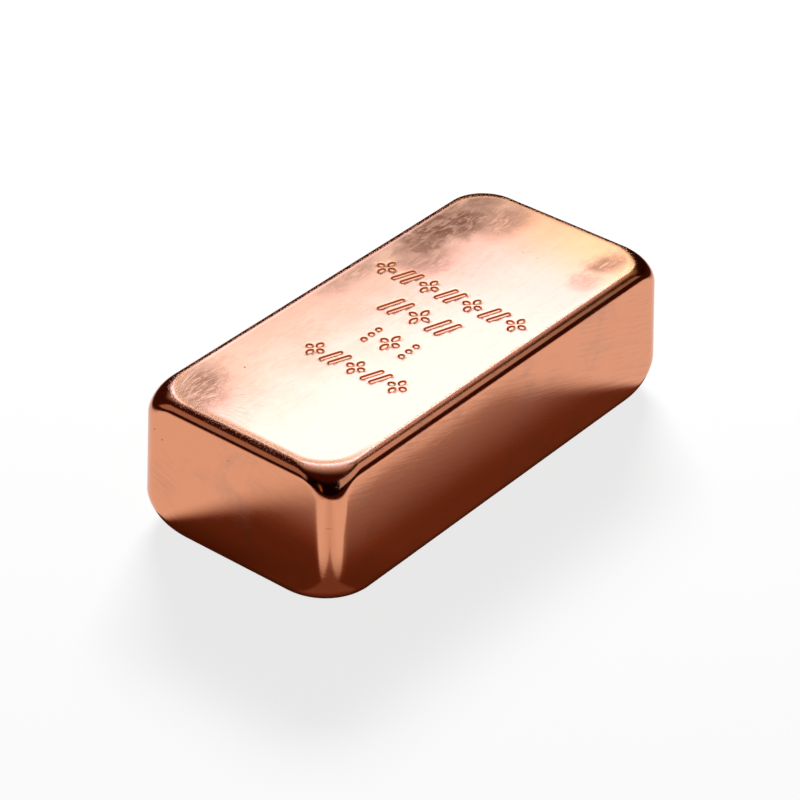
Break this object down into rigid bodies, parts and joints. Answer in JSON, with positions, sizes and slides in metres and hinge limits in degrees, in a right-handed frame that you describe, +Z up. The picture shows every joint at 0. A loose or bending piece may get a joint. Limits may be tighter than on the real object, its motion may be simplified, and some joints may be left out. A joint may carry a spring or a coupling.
{
  "type": "copper ingot",
  "caption": "Small copper ingot: a solid rounded bar, slightly narrower at the top than at the foot, with a flat face to rest on and a flat face to stack on.",
  "frame": {"origin": "middle of the foot, the flat underside that the ingot rests on", "axes": "+X along the ingot's length, +Y across its width, +Z up out of the head, the flat upper face"},
  "size_m": [0.0946, 0.0446, 0.0274],
  "materials": {
    "copper": "polished"
  },
  "bodies": {
    "root": {"ingot": "copper"}
  },
  "joints": []
}
